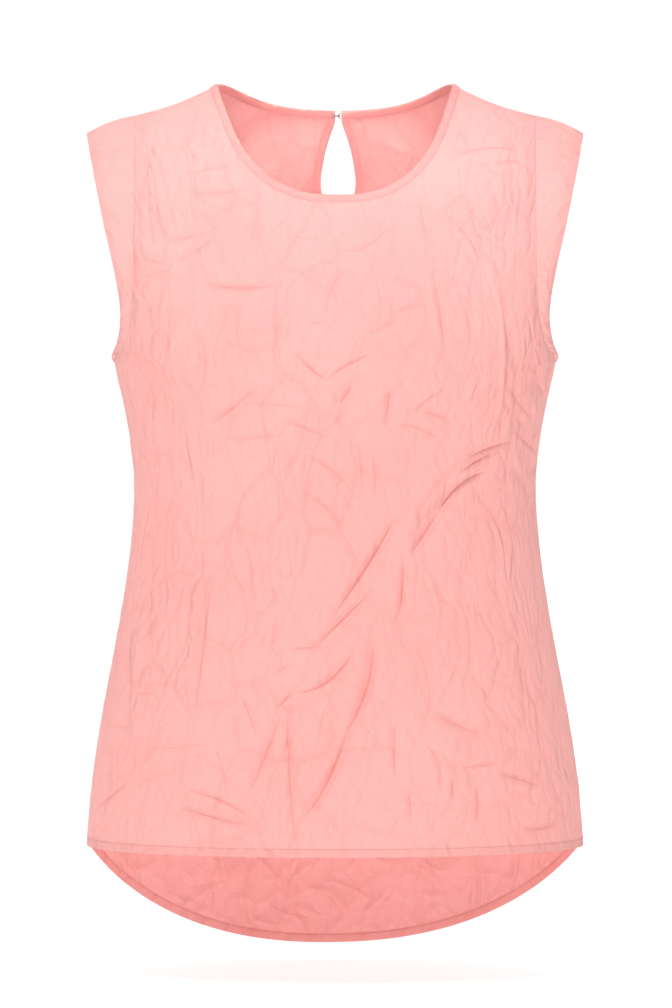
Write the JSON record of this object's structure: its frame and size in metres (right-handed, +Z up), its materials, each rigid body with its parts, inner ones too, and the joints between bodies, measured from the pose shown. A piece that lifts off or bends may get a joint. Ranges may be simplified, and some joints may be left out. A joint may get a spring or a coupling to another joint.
{
  "type": "sleeveless blouse",
  "caption": "Hollow, filled-out sleeveless blouse with a round bound neck, small cap sleeves, a nape keyhole with a hook, and a longer rounded back hem.",
  "frame": {"origin": "midway between the two points where the shoulder seams meet the neck, at their height", "axes": "+Z up, -Y towards the front of the blouse, +X towards the wearer's left"},
  "size_m": [0.3968, 0.2573, 0.7018],
  "materials": {
    "cloth": "thin plain-woven coral pink cloth, crinkled, matt with a faint sheen",
    "binding": "narrow bias strip of the same coral pink cloth, pressed and stitched",
    "thread": "coral sewing thread",
    "hook": "mauve-grey coated wire"
  },
  "bodies": {
    "root": {"front": "cloth", "back": "cloth", "cap_sleeve_left": "cloth", "cap_sleeve_right": "cloth", "neck_binding": "binding", "keyhole_binding": "binding", "hook": "hook", "thread_eye": "thread"}
  },
  "joints": []
}
